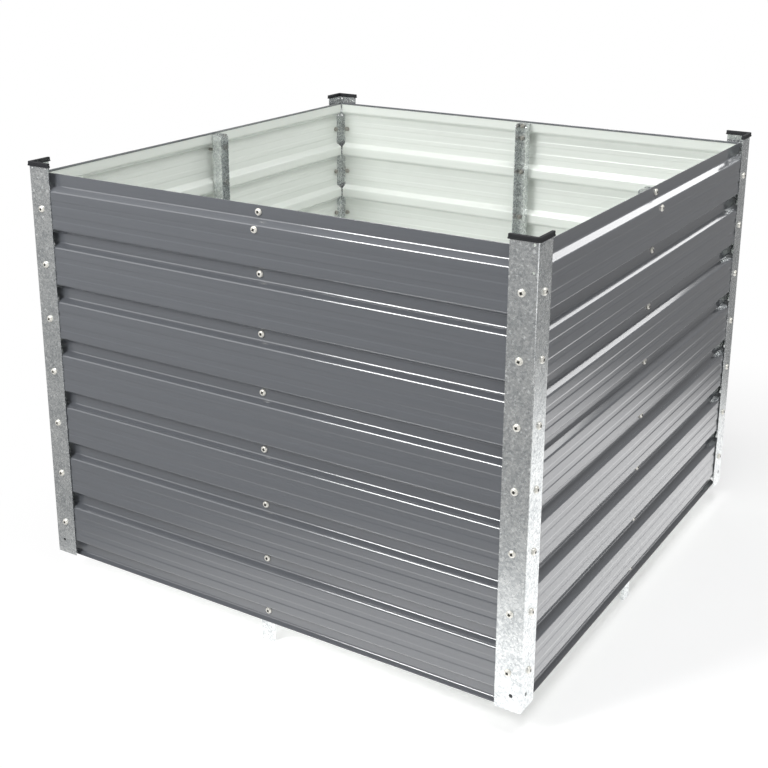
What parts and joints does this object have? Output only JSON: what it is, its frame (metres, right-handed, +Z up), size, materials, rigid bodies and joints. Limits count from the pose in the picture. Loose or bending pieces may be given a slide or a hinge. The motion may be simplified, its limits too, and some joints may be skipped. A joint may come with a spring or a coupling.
{
  "type": "raised garden bed",
  "caption": "Square open-bottomed raised garden bed of corrugated painted steel sheets bolted to galvanised angle corner posts, with plastic post caps and a channel stake inside each side.",
  "frame": {"origin": "under the middle of the bed, level with the feet of the stakes, its lowest points", "axes": "+Z up; the front side faces -Y and the right side +X"},
  "size_m": [1.0072, 1.0072, 0.8171],
  "materials": {
    "sheet_paint": "gloss anthracite coil coating outside, light grey-green backing coat inside",
    "zinc": "hot-dip galvanised with visible spangle",
    "cap_plastic": "satin dark grey moulding",
    "bolt_zinc": "bright zinc plate"
  },
  "bodies": {
    "root": {"front_upper_sheet": "sheet_paint", "front_lower_sheet": "sheet_paint", "front_stake": "zinc", "front_groove_bolt_1": "bolt_zinc", "front_groove_bolt_2": "bolt_zinc", "front_groove_bolt_3": "bolt_zinc", "front_groove_bolt_4": "bolt_zinc", "front_groove_bolt_5": "bolt_zinc", "front_groove_bolt_6": "bolt_zinc", "front_groove_bolt_7": "bolt_zinc", "front_groove_bolt_8": "bolt_zinc", "front_pan_bolt": "bolt_zinc", "right_upper_sheet": "sheet_paint", "right_lower_sheet": "sheet_paint", "right_stake": "zinc", "right_groove_bolt_1": "bolt_zinc", "right_groove_bolt_2": "bolt_zinc", "right_groove_bolt_3": "bolt_zinc", "right_groove_bolt_4": "bolt_zinc", "right_groove_bolt_5": "bolt_zinc", "right_groove_bolt_6": "bolt_zinc", "right_groove_bolt_7": "bolt_zinc", "right_groove_bolt_8": "bolt_zinc", "right_pan_bolt": "bolt_zinc", "back_upper_sheet": "sheet_paint", "back_lower_sheet": "sheet_paint", "back_stake": "zinc", "back_groove_bolt_1": "bolt_zinc", "back_groove_bolt_2": "bolt_zinc", "back_groove_bolt_3": "bolt_zinc", "back_groove_bolt_4": "bolt_zinc", "back_groove_bolt_5": "bolt_zinc", "back_groove_bolt_6": "bolt_zinc", "back_groove_bolt_7": "bolt_zinc", "back_groove_bolt_8": "bolt_zinc", "back_pan_bolt": "bolt_zinc", "left_upper_sheet": "sheet_paint", "left_lower_sheet": "sheet_paint", "left_stake": "zinc", "left_groove_bolt_1": "bolt_zinc", "left_groove_bolt_2": "bolt_zinc", "left_groove_bolt_3": "bolt_zinc", "left_groove_bolt_4": "bolt_zinc", "left_groove_bolt_5": "bolt_zinc", "left_groove_bolt_6": "bolt_zinc", "left_groove_bolt_7": "bolt_zinc", "left_groove_bolt_8": "bolt_zinc", "left_pan_bolt": "bolt_zinc", "front_left_post": "zinc", "front_left_cap": "cap_plastic", "front_right_post": "zinc", "front_right_cap": "cap_plastic", "back_right_post": "zinc", "back_right_cap": "cap_plastic", "back_left_post": "zinc", "back_left_cap": "cap_plastic"}
  },
  "joints": []
}
